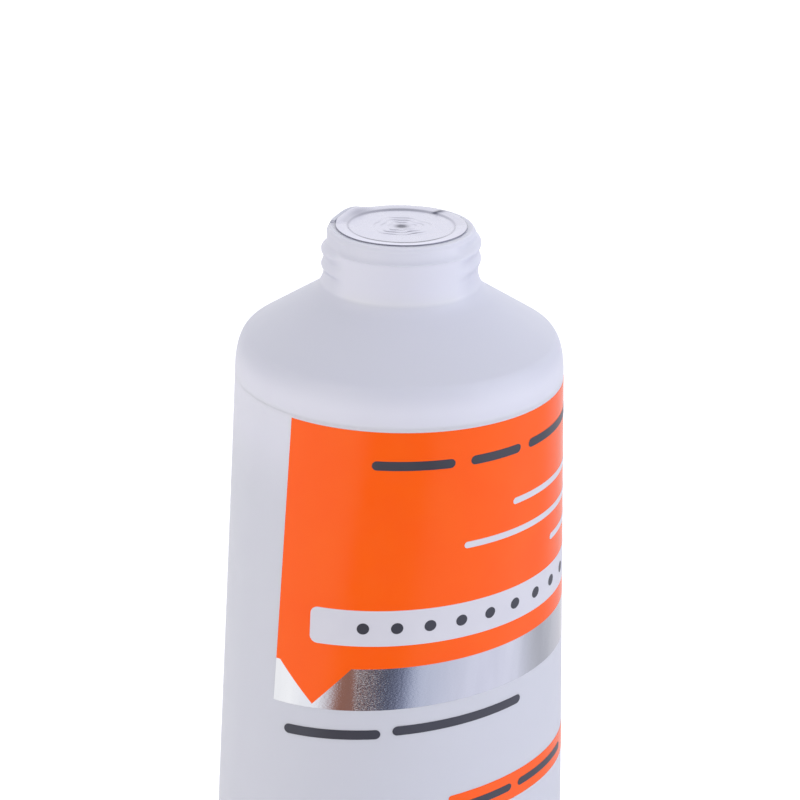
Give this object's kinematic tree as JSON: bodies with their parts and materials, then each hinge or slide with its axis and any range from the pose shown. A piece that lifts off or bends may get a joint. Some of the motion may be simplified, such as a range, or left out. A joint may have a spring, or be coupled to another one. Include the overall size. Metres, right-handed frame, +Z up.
{
  "type": "squeeze tube",
  "caption": "Soft plastic squeeze tube for sun cream with crimped tail, sloped shoulder, round neck and a peelable foil seal with a folded pull tab.",
  "frame": {"origin": "middle of the cut edge of the crimped tail", "axes": "+Z up the tube's axis and out of the neck, +X along the crimp, -Y out of the label side"},
  "size_m": [0.0596, 0.038, 0.1503],
  "materials": {
    "soft_polyethylene": "translucent satin, extruded",
    "moulded_polyethylene": "translucent satin, moulded",
    "seal_foil": "bright rolled foil, lightly creased",
    "tab_foil": "bright rolled foil, folded",
    "cream": "wet white cream"
  },
  "bodies": {
    "tube": {"tube_sleeve": "soft_polyethylene", "tube_head": "moulded_polyethylene", "cream_fill": "cream"},
    "seal": {"foil_seal": "seal_foil"},
    "tab": {"pull_tab": "tab_foil"}
  },
  "joints": [
    {"name": "seal_peel", "type": "hinge", "parent": "tube", "child": "seal", "pos_m": [0.00329, -0.00674, 0.1496], "axis": [0.8988, 0.4384, 0], "range_deg": [0, 135]},
    {"name": "tab_lift", "type": "hinge", "parent": "seal", "child": "tab", "pos_m": [-0.00308, 0.00631, 0.1503], "axis": [0.8988, 0.4384, 0], "range_deg": [0, 150]}
  ]
}
